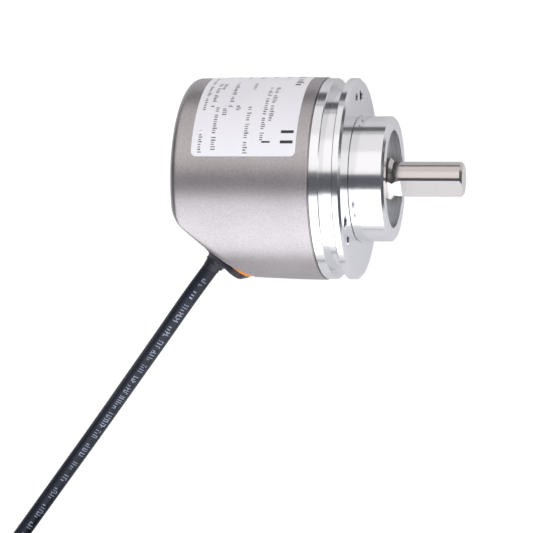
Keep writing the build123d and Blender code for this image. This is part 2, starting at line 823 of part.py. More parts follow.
with BuildPart() as led_holder_screws:
    for side in (-led_screw_side, led_screw_side):
        with BuildSketch(station(boss_end_x - led_holder_height)):
            with Locations((track_radius, side)):
                Circle(led_screw_radius)
        extrude(amount=led_holder_height)
        with BuildSketch(station(boss_end_x - led_holder_height)):
            with Locations((track_radius, side)):
                Circle(led_screw_radius * screw_head_ratio)
                Rectangle(2 * led_screw_radius * screw_head_ratio, led_screw_slot, mode=Mode.SUBTRACT)
        extrude(amount=-led_screw_head)
led_holder_screws.part.label = "led_holder_screws"
export_step(led_holder_screws.part, "parts/led_holder_screws.step")

with BuildPart() as detector_chip:
    with BuildSketch(station(board_front_x)):
        with Locations((track_radius, 0)):
            Rectangle(*detector_size)
    extrude(amount=detector_height)
detector_chip.part.label = "detector_chip"
export_step(detector_chip.part, "parts/detector_chip.step")

with BuildPart() as reticle_plate:
    with BuildSketch(station(detector_front_x)):
        with Locations((track_radius, 0)):
            Rectangle(*reticle_size)
    extrude(amount=reticle_thickness)
reticle_plate.part.label = "reticle_plate"
export_step(reticle_plate.part, "parts/reticle_plate.step")

# ------------------------------------------------------------------ rotor: shaft
front_circlip_x = bearing_front_x + circlip_thickness
shoulder_radius = journal_radius + shaft_shoulder
clip_floor = journal_radius - circlip_depth
stub_step_x = rear_bearing_end_x - circlip_thickness - stub_step
with BuildPart() as shaft:
    revolve(outline(
        (shaft_reach, 0),
        (shaft_reach, shaft_radius - shaft_chamfer),
        (shaft_reach - shaft_chamfer, shaft_radius),
        (journal_step_x, shaft_radius),
        (journal_step_x - journal_taper, journal_radius),
        (front_circlip_x + circlip_end_play, journal_radius),
        (front_circlip_x + circlip_end_play, clip_floor),
        (bearing_front_x, clip_floor),
        (bearing_front_x, journal_radius),
        (land_front_x, journal_radius),
        (land_front_x, shoulder_radius),
        (rear_bearing_x, shoulder_radius),
        (rear_bearing_x, journal_radius),
        (rear_bearing_end_x, journal_radius),
        (rear_bearing_end_x, clip_floor),
        (rear_bearing_end_x - circlip_thickness - circlip_end_play, clip_floor),
        (rear_bearing_end_x - circlip_thickness - circlip_end_play, journal_radius),
        (stub_step_x, journal_radius),
        (stub_step_x, stub_radius),
        (stub_end_x + stub_chamfer, stub_radius),
        (stub_end_x, stub_radius - stub_chamfer),
        (stub_end_x, 0),
    ), axis=Axis.X)
    flat_plane = Plane(origin=(0, 0, 0), x_dir=(1, 0, 0), z_dir=around(1, flat_turn + 90))
    floor_y = shaft_radius - flat_depth
    with BuildSketch(flat_plane):
        with BuildLine():
            reach = sqrt(flat_runout**2 - (flat_runout - flat_depth - 1)**2)
            runout = ThreePointArc(
                (flat_start_x - reach, floor_y + flat_depth + 1),
                (flat_start_x - flat_runout * sin(radians(20)),
                 floor_y + flat_runout * (1 - cos(radians(20)))),
                (flat_start_x, floor_y))
            Polyline(runout @ 1, (shaft_reach + 1, floor_y),
                     (shaft_reach + 1, floor_y + flat_depth + 1), runout @ 0)
        make_face()
    extrude(amount=shaft_radius, both=True, mode=Mode.SUBTRACT)
shaft.part.label = "shaft"
export_step(shaft.part, "parts/shaft.step")

with BuildPart() as front_bearing_inner_ring:
    revolve(band(bearing_front_x, land_front_x, journal_radius, inner_ring_outer), axis=Axis.X)
    revolve(race(bearing_front_x), axis=Axis.X, mode=Mode.SUBTRACT)
front_bearing_inner_ring.part.label = "front_bearing_inner_ring"
export_step(front_bearing_inner_ring.part, "parts/front_bearing_inner_ring.step")

with BuildPart() as rear_bearing_inner_ring:
    revolve(band(rear_bearing_x, rear_bearing_end_x, journal_radius, inner_ring_outer), axis=Axis.X)
    revolve(race(rear_bearing_x), axis=Axis.X, mode=Mode.SUBTRACT)
rear_bearing_inner_ring.part.label = "rear_bearing_inner_ring"
export_step(rear_bearing_inner_ring.part, "parts/rear_bearing_inner_ring.step")


def circlip(x):
    """External circlip in its groove, open at one side, its rear face at x."""
    with BuildPart() as ring:
        with BuildSketch(station(x)):
            Circle(clip_floor + circlip_width)
            Circle(clip_floor + circlip_clearance, mode=Mode.SUBTRACT)
            with Locations((clip_floor + circlip_width, 0)):
                Rectangle(2 * circlip_width + 1, circlip_gap, mode=Mode.SUBTRACT)
        extrude(amount=circlip_thickness)
    return ring.part


with BuildPart() as front_circlip:
    add(circlip(bearing_front_x))
front_circlip.part.label = "front_circlip"
export_step(front_circlip.part, "parts/front_circlip.step")

with BuildPart() as rear_circlip:
    add(circlip(rear_bearing_end_x - circlip_thickness))
rear_circlip.part.label = "rear_circlip"
export_step(rear_circlip.part, "parts/rear_circlip.step")

# ------------------------------------------------------------------ rotor: code disc
hub_screw_x = hub_front_x - hub_length / 2
with BuildPart() as disc_hub:
    revolve(outline(
        (hub_front_x, stub_radius), (hub_front_x, hub_radius),
        (disc_front_x, hub_radius), (disc_front_x, hub_spigot_radius),
        (clamp_end_x, hub_spigot_radius), (clamp_end_x, stub_radius),
    ), axis=Axis.X)
    with BuildSketch(Plane.XZ.offset(-hub_radius - 1)):
        with Locations((hub_screw_x, 0)):
            Circle(hub_screw_radius)
    extrude(amount=hub_radius + 1 - stub_radius / 2, mode=Mode.SUBTRACT)
disc_hub.part.label = "disc_hub"
export_step(disc_hub.part, "parts/disc_hub.step")

with BuildPart() as hub_set_screw:
    with BuildSketch(Plane.XZ.offset(hub_screw_inset - hub_radius)):
        with Locations((hub_screw_x, 0)):
            Circle(hub_screw_radius)
    extrude(amount=hub_radius - stub_radius - hub_screw_inset)
    with BuildSketch(Plane.XZ.offset(hub_screw_inset - hub_radius)):
        with Locations((hub_screw_x, 0)):
            RegularPolygon(hub_screw_socket, 6)
    extrude(amount=hub_socket_depth, mode=Mode.SUBTRACT)
hub_set_screw.part.label = "hub_set_screw"
export_step(hub_set_screw.part, "parts/hub_set_screw.step")

with BuildPart() as code_disc:
    with BuildSketch(station(disc_front_x)):
        Circle(disc_radius)
        Circle(hub_spigot_radius + hub_clearance, mode=Mode.SUBTRACT)
        with PolarLocations(track_radius, slot_count):
            Rectangle(slot_length, slot_width, mode=Mode.SUBTRACT)
    extrude(amount=-disc_thickness)
code_disc.part.label = "code_disc"
export_step(code_disc.part, "parts/code_disc.step")

with BuildPart() as disc_clamp_ring:
    revolve(band(disc_rear_x, clamp_end_x, hub_spigot_radius + hub_clearance, hub_radius), axis=Axis.X)
disc_clamp_ring.part.label = "disc_clamp_ring"
export_step(disc_clamp_ring.part, "parts/disc_clamp_ring.step")

# ------------------------------------------------------------------ rolling ball sets


def ball_places(front_x):
    """Centres of a bearing's balls."""
    return [around(pitch_radius, 360 / ball_count * count, front_x - bearing_width / 2)
            for count in range(ball_count)]


def cage(front_x):
    """Ball cage ring with a spherical pocket for each ball."""
    middle = front_x - bearing_width / 2
    with BuildPart() as ring:
        revolve(band(middle + cage_half_width, middle - cage_half_width,
                     pitch_radius - cage_wall / 2, pitch_radius + cage_wall / 2), axis=Axis.X)
        with Locations(*ball_places(front_x)):
            Sphere(ball_radius + pocket_clearance, mode=Mode.SUBTRACT)
    return ring.part


with BuildPart() as front_balls:
    with Locations(*ball_places(bearing_front_x)):
        Sphere(ball_radius)
front_balls.part.label = "front_balls"
export_step(front_balls.part, "parts/front_balls.step")

with BuildPart() as front_ball_cage:
    add(cage(bearing_front_x))
front_ball_cage.part.label = "front_ball_cage"
export_step(front_ball_cage.part, "parts/front_ball_cage.step")

with BuildPart() as rear_balls:
    with Locations(*ball_places(rear_bearing_x)):
        Sphere(ball_radius)
rear_balls.part.label = "rear_balls"
export_step(rear_balls.part, "parts/rear_balls.step")

with BuildPart() as rear_ball_cage:
    add(cage(rear_bearing_x))
rear_ball_cage.part.label = "rear_ball_cage"
export_step(rear_ball_cage.part, "parts/rear_ball_cage.step")

# ------------------------------------------------------------------ free cable
coil_inside = coil_inner_turn - cable_radius - coil_slack
coil_outside = coil_inner_turn + (coil_columns - 0.5) * cable_diameter + coil_slack
coil_height = coil_layers * cable_diameter + coil_slack
coil_z = floor_z + tie_thickness + coil_height / 2
coil_axis = Axis((coil_centre[0], coil_centre[1], 0), (0, 0, 1))


def coil_point(radius, angle, z):
    """Point at a radius and an angle about the coil's axis."""
    return (coil_centre[0] + radius * cos(radians(angle)),
            coil_centre[1] + radius * sin(radians(angle)), z)


def corner_radii(points):
    """Largest arc at each corner of a route that leaves a tenth of each run straight."""
    radii = []
    for before, corner, after in zip(points, points[1:], points[2:]):
        run_in = Vector(*corner) - Vector(*before)
        run_out = Vector(*after) - Vector(*corner)
        half_turn = radians(run_in.get_angle(run_out)) / 2
        radii.append(0.45 * min(run_in.length, run_out.length) / tan(half_turn))
    return radii


with BuildPart() as cable_coil:
    with BuildSketch(Plane(origin=(*coil_centre, 0), x_dir=(1, 0, 0), z_dir=(0, -1, 0))):
        with Locations(((coil_inside + coil_outside) / 2, coil_z)):
            RectangleRounded(coil_outside - coil_inside, coil_height, cable_radius)
    revolve(axis=coil_axis)
cable_coil.part.label = "cable_coil"
export_step(cable_coil.part, "parts/cable_coil.step")

outlet_mouth = on_outlet(mouth_height)
coil_entry = coil_point(coil_outside - coil_slack - cable_radius, coil_entry_angle,
                        floor_z + tie_thickness + coil_slack + cable_radius)
first_corner = on_outlet(mouth_height + cable_first_run)
tube_points = [tuple(outlet_mouth), tuple(first_corner), *cable_route, coil_entry]
tail_points = list(tail_route)
with BuildPart() as cable_tube:
    tube_radii = corner_radii(tube_points)
    with BuildLine() as tube_path:
        FilletPolyline(*tube_points, radius=tube_radii)
    with BuildSketch(tube_path.line ^ 0):
        Circle(cable_radius)
    sweep(path=tube_path.line)
    tube_error = cable_tube.part.volume / (pi * cable_radius**2 * tube_path.wires()[0].length) - 1
    add(cable_coil.part, mode=Mode.SUBTRACT)
cable_tube.part.label = "cable_tube"
export_step(cable_tube.part, "parts/cable_tube.step")
print("cable radii", [round(radius) for radius in tube_radii])
print("cable run", round(tube_path.wires()[0].length), "volume error", round(tube_error, 5))

with BuildPart() as cable_tail:
    tail_radii = corner_radii(tail_points)
    with BuildLine() as tail_path:
        FilletPolyline(*tail_points, radius=tail_radii)
    with BuildSketch(tail_path.line ^ 0):
        Circle(cable_radius)
    sweep(path=tail_path.line)
    tail_error = cable_tail.part.volume / (pi * cable_radius**2 * tail_path.wires()[0].length) - 1
    add(cable_coil.part, mode=Mode.SUBTRACT)
cable_tail.part.label = "cable_tail"
export_step(cable_tail.part, "parts/cable_tail.step")
print("tail radii", [round(radius) for radius in tail_radii])
print("tail run", round(tail_path.wires()[0].length), "volume error", round(tail_error, 5))

with BuildPart() as coil_ties:
    for angle in tie_angles:
        across = Plane(origin=(*coil_centre, 0), x_dir=(cos(radians(angle)), sin(radians(angle)), 0),
                       z_dir=(sin(radians(angle)), -cos(radians(angle)), 0))
        with BuildSketch(across):
            with Locations(((coil_inside + coil_outside) / 2, coil_z)):
                RectangleRounded(coil_outside - coil_inside + 2 * tie_thickness,
                                 coil_height + 2 * tie_thickness, cable_radius + tie_thickness)
        extrude(amount=tie_width / 2, both=True)
    add(cable_coil.part, mode=Mode.SUBTRACT)
coil_ties.part.label = "coil_ties"
export_step(coil_ties.part, "parts/coil_ties.step")

# ------------------------------------------------------------------ stripped end of the cable
tail_end = Vector(*tail_points[-1])
tail_way = (tail_end - Vector(*tail_points[-2])).normalized()
tail_side = Vector(-tail_way.Y, tail_way.X, 0)
end_lead_drop = tail_end.Z - floor_z - lead_diameter / 2 - ferrule_wall - ferrule_gap


def end_lead_line(count):
    """Start and end of one stripped core, fanned out from the jacket to the floor."""
    place = count - (lead_count - 1) / 2
    lift = end_lead_row if count % 2 else -end_lead_row
    start = tail_end + tail_side * (end_lead_packing * place) + Vector(0, 0, lift)
    end = tail_end + tail_way * end_lead_length + tail_side * (end_lead_spread * place)
    return start, end - Vector(0, 0, end_lead_drop)


with BuildPart() as end_leads:
    for count in range(lead_count):
        start, end = end_lead_line(count)
        with BuildSketch(Plane(origin=start, z_dir=end - start)):
            Circle(lead_diameter / 2)
        extrude(amount=(end - start).length)
end_leads.part.label = "end_leads"
export_step(end_leads.part, "parts/end_leads.step")

with BuildPart() as end_ferrules:
    for count in range(lead_count):
        start, end = end_lead_line(count)
        with BuildSketch(Plane(origin=end, z_dir=start - end)):
            Circle(lead_diameter / 2 + ferrule_wall)
            Circle(lead_diameter / 2, mode=Mode.SUBTRACT)
        extrude(amount=ferrule_length)
end_ferrules.part.label = "end_ferrules"
export_step(end_ferrules.part, "parts/end_ferrules.step")
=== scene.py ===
import math
import random

import bmesh
import bpy
import numpy as np
from mathutils import Matrix, Vector


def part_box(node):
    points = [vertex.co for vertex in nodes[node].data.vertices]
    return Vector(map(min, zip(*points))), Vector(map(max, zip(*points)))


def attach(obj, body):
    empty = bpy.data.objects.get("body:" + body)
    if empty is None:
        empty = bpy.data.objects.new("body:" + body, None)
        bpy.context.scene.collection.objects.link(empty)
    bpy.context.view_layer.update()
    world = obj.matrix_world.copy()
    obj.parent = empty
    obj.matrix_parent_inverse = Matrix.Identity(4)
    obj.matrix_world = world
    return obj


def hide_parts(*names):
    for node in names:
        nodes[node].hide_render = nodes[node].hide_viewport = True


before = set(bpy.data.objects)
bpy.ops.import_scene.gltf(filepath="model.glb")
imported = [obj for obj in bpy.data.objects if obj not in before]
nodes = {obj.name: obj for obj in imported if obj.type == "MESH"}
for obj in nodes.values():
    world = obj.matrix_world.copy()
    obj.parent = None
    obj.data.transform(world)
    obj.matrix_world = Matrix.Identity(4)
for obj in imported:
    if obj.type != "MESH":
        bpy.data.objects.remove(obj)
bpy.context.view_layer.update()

# ------------------------------------------------------------------ sizes, in metres
MM = 0.001
cover_low, cover_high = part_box("cover")
coil_low, coil_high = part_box("cable_coil")
COVER_RADIUS = (cover_high.y - cover_low.y) / 2
COVER_REAR = cover_low.x
COVER_FRONT = cover_high.x
COVER_WALL = 0.8 * MM
FLOOR_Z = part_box("coil_ties")[0].z
CABLE_RADIUS = 4.75 * MM / 2
BORE_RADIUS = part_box("seal_case")[1].y
FLAT_TURN = 132.7           # degrees from +Y towards +Z
FLAT_HEIGHT = 4.0 * MM      # from the shaft's axis

# the 45 degree corner of the cover: x + y = -FACET_SUM
FACET_DROP = 17.9 * MM
FACET_SUM = -COVER_REAR + COVER_RADIUS - FACET_DROP


# ------------------------------------------------------------------ small helpers
def smooth_step(t):
    """0 to 1 with flat ends."""
    t = min(max(t, 0.0), 1.0)
    return t * t * (3 - 2 * t)


def new_object(name, mesh, body="housing"):
    """Puts a mesh or curve in the scene, riding on a body."""
    piece = bpy.data.objects.new(name, mesh)
    bpy.context.scene.collection.objects.link(piece)
    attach(piece, body)
    return piece


def mesh_from(name, points, faces, smooth=True):
    """Mesh data from points and faces, with outward normals."""
    mesh = bpy.data.meshes.new(name)
    mesh.from_pydata([tuple(p) for p in points], [], faces)
    mesh.update()
    work = bmesh.new()
    work.from_mesh(mesh)
    bmesh.ops.recalc_face_normals(work, faces=work.faces)
    work.to_mesh(mesh)
    work.free()
    for polygon in mesh.polygons:
        polygon.use_smooth = smooth
    return mesh


# ------------------------------------------------------------------ materials
class Paint:
    """A Principled material with a few chained helpers for its nodes."""

    def __init__(self, name, color, metallic=0.0, roughness=0.5, **sockets):
        self.material = bpy.data.materials.new(name)
        self.material.use_nodes = True
        self.tree = self.material.node_tree
        self.shader = self.tree.nodes["Principled BSDF"]
        self.shader.inputs["Base Color"].default_value = (*color, 1)
        self.shader.inputs["Metallic"].default_value = metallic
        self.shader.inputs["Roughness"].default_value = roughness
        for key, value in sockets.items():
            self.shader.inputs[key.replace("_", " ")].default_value = value
        self.coords = self.tree.nodes.new("ShaderNodeTexCoord")

    def node(self, kind, **values):
        made = self.tree.nodes.new("ShaderNode" + kind)
        for key, value in values.items():
            if hasattr(made, key):
                setattr(made, key, value)
            else:
                made.inputs[key.replace("_", " ")].default_value = value
        return made

    def link(self, out, into):
        self.tree.links.new(out, into)

    def stretched(self, scale):
        """Object coordinates scaled by (x, y, z)."""
        mapping = self.node("Mapping")
        mapping.inputs["Scale"].default_value = scale
        self.link(self.coords.outputs["Object"], mapping.inputs["Vector"])
        return mapping.outputs["Vector"]

    def noise(self, scale, detail=3.0, vector=None, rough=0.5):
        made = self.node("TexNoise", Scale=scale, Detail=detail, Roughness=rough)
        self.link(vector or self.coords.outputs["Object"], made.inputs["Vector"])
        return made.outputs["Fac"]

    def radius(self):
        """Distance from the X axis."""
        cross = self.stretched((0, 1, 1))
        made = self.node("VectorMath", operation="LENGTH")
        self.link(cross, made.inputs[0])
        return made.outputs["Value"]

    def turned(self, rings):
        """Noise in the distance from the X axis and along it: the lay that a lathe leaves."""
        split = self.node("SeparateXYZ")
        self.link(self.coords.outputs["Object"], split.inputs[0])
        place = self.node("CombineXYZ")
        self.link(split.outputs["X"], place.inputs["X"])
        self.link(self.radius(), place.inputs["Y"])
        return self.noise(rings, 2.0, place.outputs[0])

    def ramp(self, fac, low, high, low_value, high_value):
        """Maps a factor between two limits to two values."""
        made = self.node("MapRange")
        made.inputs["From Min"].default_value = low
        made.inputs["From Max"].default_value = high
        made.inputs["To Min"].default_value = low_value
        made.inputs["To Max"].default_value = high_value
        self.link(fac, made.inputs["Value"])
        return made.outputs["Result"]

    def shade(self, fac, dark, light, low=0.3, high=0.7):
        """Base colour that runs from dark to light with a factor."""
        made = self.node("ValToRGB")
        made.color_ramp.elements[0].position = low
        made.color_ramp.elements[0].color = (*dark, 1)
        made.color_ramp.elements[1].position = high
        made.color_ramp.elements[1].color = (*light, 1)
        self.link(fac, made.inputs["Fac"])
        self.link(made.outputs["Color"], self.shader.inputs["Base Color"])
        return self

    def rough(self, fac, low_value, high_value, low=0.3, high=0.7):
        self.link(self.ramp(fac, low, high, low_value, high_value), self.shader.inputs["Roughness"])
        return self

    def bump(self, fac, depth, strength=0.5):
        """Relief of a depth in metres."""
        made = self.node("Bump", Strength=strength, Distance=depth)
        self.link(fac, made.inputs["Height"])
        self.link(made.outputs["Normal"], self.shader.inputs["Normal"])
        return self

    def radial_tangent(self):
        """Reflections stretched across the lay of turning about X."""
        made = self.node("Tangent", direction_type="RADIAL", axis="X")
        self.link(made.outputs["Tangent"], self.shader.inputs["Tangent"])
        return self


def turned_metal(name, color, roughness, lay, anisotropic=0.5):
    """Metal cut on a lathe: fine rings, a little variation in gloss."""
    paint = Paint(name, color, 1.0, roughness, Anisotropic=anisotropic)
    rings = paint.turned(lay)
    dark = tuple(c * 0.94 for c in color)
    paint.shade(rings, dark, color).rough(rings, roughness * 0.85, roughness * 1.2)
    paint.bump(rings, 0.004 * MM, 0.35).radial_tangent()
    return paint.material


def turned_flange():
    """Bright turned aluminium, duller inside the bored collar."""
    paint = Paint("turned_aluminium", (0.83, 0.835, 0.85), 1.0, 0.14, Anisotropic=0.4)
    rings = paint.turned(9000)
    paint.shade(rings, (0.78, 0.785, 0.8), (0.84, 0.845, 0.86))
    sheen = paint.ramp(rings, 0.3, 0.7, -0.02, 0.03)
    bored = paint.ramp(paint.radius(), BORE_RADIUS, BORE_RADIUS + 0.2 * MM, 0.26, 0.14)
    total = paint.node("Math", operation="ADD")
    paint.link(sheen, total.inputs[0])
    paint.link(bored, total.inputs[1])
    paint.link(total.outputs[0], paint.shader.inputs["Roughness"])
    paint.bump(rings, 0.004 * MM, 0.35).radial_tangent()
    return paint.material


def ground_shaft():
    """Ground steel, with a duller milled flat on one side."""
    paint = Paint("ground_steel", (0.62, 0.58, 0.565), 1.0, 0.15)
    rings = paint.turned(12000)
    height = paint.node("VectorMath", operation="DOT_PRODUCT")
    turn = math.radians(FLAT_TURN)
    height.inputs[1].default_value = (0, math.cos(turn), math.sin(turn))
    paint.link(paint.coords.outputs["Object"], height.inputs[0])
    on_flat = paint.node("Math", operation="COMPARE")
    on_flat.inputs[1].default_value = FLAT_HEIGHT
    on_flat.inputs[2].default_value = 0.02 * MM
    paint.link(height.outputs["Value"], on_flat.inputs[0])
    paint.shade(on_flat.outputs[0], (0.61, 0.57, 0.555), (0.4, 0.385, 0.38), 0.0, 1.0)
    gloss = paint.node("Math", operation="ADD")
    paint.link(paint.ramp(on_flat.outputs[0], 0, 1, 0.13, 0.26), gloss.inputs[0])
    paint.link(paint.ramp(rings, 0.3, 0.7, 0.0, 0.05), gloss.inputs[1])
    paint.link(gloss.outputs[0], paint.shader.inputs["Roughness"])
    paint.bump(rings, 0.004 * MM, 0.35).radial_tangent()
    return paint.material


def blasted_steel():
    """Drawn stainless steel with a fine blasted, satin surface."""
    paint = Paint("blasted_steel", (0.47, 0.435, 0.43), 1.0, 0.36)
    grain = paint.noise(2600, 5.0, None, 0.7)
    cloud = paint.noise(70, 3.0)
    mottle = paint.noise(2000, 4.0)
    mixed = paint.node("MixRGB", blend_type="MULTIPLY")
    tone = paint.node("ValToRGB")
    tone.color_ramp.elements[0].position = 0.3
    tone.color_ramp.elements[0].color = (0.46, 0.433, 0.436, 1)
    tone.color_ramp.elements[1].position = 0.7
    tone.color_ramp.elements[1].color = (0.5, 0.473, 0.476, 1)
    paint.link(cloud, tone.inputs["Fac"])
    speck = paint.node("ValToRGB")
    speck.color_ramp.elements[0].position = 0.32
    speck.color_ramp.elements[0].color = (0.8, 0.8, 0.82, 1)
    speck.color_ramp.elements[1].position = 0.62
    speck.color_ramp.elements[1].color = (1, 1, 1, 1)
    paint.link(mottle, speck.inputs["Fac"])
    mixed.inputs["Fac"].default_value = 0.8
    paint.link(tone.outputs["Color"], mixed.inputs["Color1"])
    paint.link(speck.outputs["Color"], mixed.inputs["Color2"])
    paint.link(mixed.outputs["Color"], paint.shader.inputs["Base Color"])
    paint.rough(grain, 0.32, 0.42).bump(grain, 0.03 * MM, 0.6)
    return paint.material


def plastic(name, dark, light, roughness, grain=2600, depth=0.01, **sockets):
    """Moulded plastic or rubber with a fine surface grain."""
    paint = Paint(name, light, 0.0, roughness, **sockets)
    fine = paint.noise(grain, 3.0)
    cloud = paint.noise(160, 2.0)
    paint.shade(cloud, dark, light).rough(fine, roughness * 0.9, roughness * 1.12)
    paint.bump(fine, depth * MM, 0.35)
    return paint.material


def film():
    """Label film: satin white with a trace of lilac, and print-grade smoothness."""
    paint = Paint("label_film", (0.93, 0.92, 0.96), 0.0, 0.4)
    cloud = paint.noise(60, 2.0)
    paint.shade(cloud, (0.91, 0.905, 0.955), (0.94, 0.935, 0.975))
    paint.bump(paint.noise(900, 2.0), 0.004 * MM, 0.3)
    return paint.material


def laminate():
    """Circuit board: green resist and a hint of tracks below it."""
    paint = Paint("board_laminate", (0.02, 0.17, 0.08), 0.0, 0.32, Coat_Weight=0.3)
    tracks = paint.node("TexVoronoi", Scale=420.0, distance="MANHATTAN", feature="F2")
    paint.link(paint.coords.outputs["Object"], tracks.inputs["Vector"])
    paint.shade(tracks.outputs["Distance"], (0.015, 0.12, 0.055), (0.03, 0.24, 0.11), 0.35, 0.5)
    paint.bump(tracks.outputs["Distance"], 0.03 * MM, 0.3)
    return paint.material


def glass():
    """Clear glass of the lens and the scanning plate."""
    paint = Paint("clear_glass", (0.9, 0.96, 0.95), 0.0, 0.04, Transmission_Weight=0.9, IOR=1.5)
    paint.rough(paint.noise(700, 2.0), 0.03, 0.08)
    return paint.material


FLANGE_METAL = turned_flange()
HUB_METAL = turned_metal("hub_aluminium", (0.72, 0.72, 0.73), 0.26, 7000)
SHAFT_STEEL = ground_shaft()
BEARING_STEEL = turned_metal("bearing_steel", (0.62, 0.62, 0.63), 0.16, 10000)
SPRING_STEEL = turned_metal("spring_steel", (0.2, 0.2, 0.21), 0.35, 6000)
DISC_METAL = turned_metal("disc_metal", (0.55, 0.57, 0.6), 0.12, 8000)
NICKEL = turned_metal("nickel_brass", (0.66, 0.63, 0.57), 0.24, 7000)
BRASS = turned_metal("brass", (0.72, 0.52, 0.22), 0.26, 7000)
GOLD = turned_metal("gold_pins", (0.83, 0.6, 0.22), 0.22, 7000)
TINNED = turned_metal("tinned_copper", (0.7, 0.7, 0.69), 0.3, 5000)
COVER_STEEL = blasted_steel()
LABEL_FILM = film()
BOARD = laminate()
GLASS = glass()
MOULDING = plastic("black_moulding", (0.008, 0.01, 0.018), (0.014, 0.016, 0.026), 0.4)
RUBBER = plastic("black_rubber", (0.012, 0.012, 0.014), (0.022, 0.022, 0.024), 0.55)
JACKET = plastic("black_jacket", (0.006, 0.009, 0.018), (0.01, 0.014, 0.027), 0.42, 1800, 0.02,
                 Specular_IOR_Level=0.36)
ORANGE = plastic("orange_silicone", (0.83, 0.27, 0.03), (0.9, 0.33, 0.05), 0.45, 2400, 0.01,
                 Subsurface_Weight=0.15, Subsurface_Scale=0.001)
NYLON = plastic("natural_nylon", (0.74, 0.69, 0.55), (0.8, 0.76, 0.63), 0.42)
CERAMIC = plastic("ceramic", (0.36, 0.25, 0.16), (0.46, 0.34, 0.22), 0.5)
INK_BOLD = plastic("label_ink_bold", (0.012, 0.012, 0.016), (0.03, 0.028, 0.034), 0.5)
INK = plastic("label_ink", (0.1, 0.1, 0.13), (0.16, 0.155, 0.19), 0.5)
CABLE_INK = plastic("cable_ink", (0.2, 0.24, 0.33), (0.36, 0.41, 0.52), 0.55)

NODE_MATERIALS = {
    "flange": FLANGE_METAL, "cover": COVER_STEEL, "cover_seal": RUBBER, "label": LABEL_FILM,
    "cable_grommet": MOULDING, "grommet_seal": ORANGE, "grommet_nut": NICKEL, "cable_entry": JACKET,
    "cable_crimp_ring": NICKEL, "seal_case": BEARING_STEEL, "seal_lip": RUBBER,
    "seal_garter_spring": SPRING_STEEL, "front_bearing_outer_ring": BEARING_STEEL,
    "rear_bearing_outer_ring": BEARING_STEEL, "front_bearing_shields": BEARING_STEEL,
    "rear_bearing_shields": BEARING_STEEL, "preload_wave_spring": SPRING_STEEL,
    "circuit_board": BOARD, "standoffs": BRASS, "board_screws": NICKEL, "board_chips": MOULDING,
    "board_capacitors": CERAMIC, "board_resistors": MOULDING, "board_header": NYLON,
    "header_pins": GOLD, "wire_plug": NYLON, "inner_leads": NYLON, "led_holder": MOULDING,
    "led_emitter": NICKEL, "led_lens": GLASS, "led_holder_screws": NICKEL, "detector_chip": MOULDING,
    "reticle_plate": GLASS, "shaft": SHAFT_STEEL, "front_bearing_inner_ring": BEARING_STEEL,
    "rear_bearing_inner_ring": BEARING_STEEL, "front_circlip": SPRING_STEEL,
    "rear_circlip": SPRING_STEEL, "disc_hub": HUB_METAL, "hub_set_screw": SPRING_STEEL,
    "code_disc": DISC_METAL, "disc_clamp_ring": HUB_METAL, "front_balls": BEARING_STEEL,
    "front_ball_cage": BRASS, "rear_balls": BEARING_STEEL, "rear_ball_cage": BRASS,
    "coil_ties": MOULDING, "end_leads": NYLON, "end_ferrules": TINNED,
    "cable_coil": JACKET, "cable_tube": JACKET, "cable_tail": JACKET,
}


def dress_nodes():
    """Gives every CAD node its material."""
    for name, material in NODE_MATERIALS.items():
        nodes[name].data.materials.clear()
        nodes[name].data.materials.append(material)


# ------------------------------------------------------------------ camera, floor, light
CAMERA_TARGET = Vector((-27.87, -25.76, 0.0)) * MM
CAMERA_DISTANCE = 541.0 * MM
CAMERA_YAW = math.radians(14.28)
CAMERA_PITCH = math.radians(2.64)
CAMERA_ROLL = math.radians(0.27)
CAMERA_LENS = 124.71
CAMERA_SENSOR = 36.0
FLOOR_HALF = 6.0
FLOOR_GLOW = 1.07           # brightness of the sweep where the camera looks at it
FLOOR_GLOW_SHARE = 0.93
CARD_LOW, CARD_HIGH, CARD_REACH = 0.12, 0.33, 0.7
CARD_LIFT = 0.5 * MM
LIGHT_REACH = 0.75
BANK_LENGTH = 1.6
BANK_CENTRE_X = -0.02
LIGHT_BANKS = (             # name, first and last angle from +Z towards +Y, power, tint
    ("upper_near", 8, 50, 5.5, (1.0, 0.965, 0.95)),
    ("upper_far", 50, 90, 4.3, (1.0, 0.96, 0.945)),
    ("lower_near", -56, -19, 8.6, (0.965, 0.965, 1.0)),
    ("lower_far", -98, -56, 10.0, (0.965, 0.965, 1.0)),
)
SIDE_LAMP_AWAY = Vector((0.82, 0.25, 0.5))
SIDE_LAMP_SIZE = 0.5
SIDE_LAMP_POWER = 1.2
WORLD_TINT = (0.82, 0.88, 1.0, 1)
WORLD_STRENGTH = 0.12


def make_camera():
    """Looks down on the encoder from above, a little from its shaft side."""
    back = Vector((math.sin(CAMERA_YAW) * math.cos(CAMERA_PITCH), math.sin(CAMERA_PITCH),
                   math.cos(CAMERA_YAW) * math.cos(CAMERA_PITCH)))
    right = Vector((0, 1, 0)).cross(back).normalized()
    up = back.cross(right)
    turned_right = right * math.cos(CAMERA_ROLL) + up * math.sin(CAMERA_ROLL)
    turned_up = up * math.cos(CAMERA_ROLL) - right * math.sin(CAMERA_ROLL)
    data = bpy.data.cameras.new("camera")
    data.lens = CAMERA_LENS
    data.sensor_width = CAMERA_SENSOR
    camera = bpy.data.objects.new("camera", data)
    place = Matrix((turned_right, turned_up, back)).transposed().to_4x4()
    place.translation = CAMERA_TARGET + back * CAMERA_DISTANCE
    camera.matrix_world = place
    bpy.context.scene.collection.objects.link(camera)
    bpy.context.scene.camera = camera


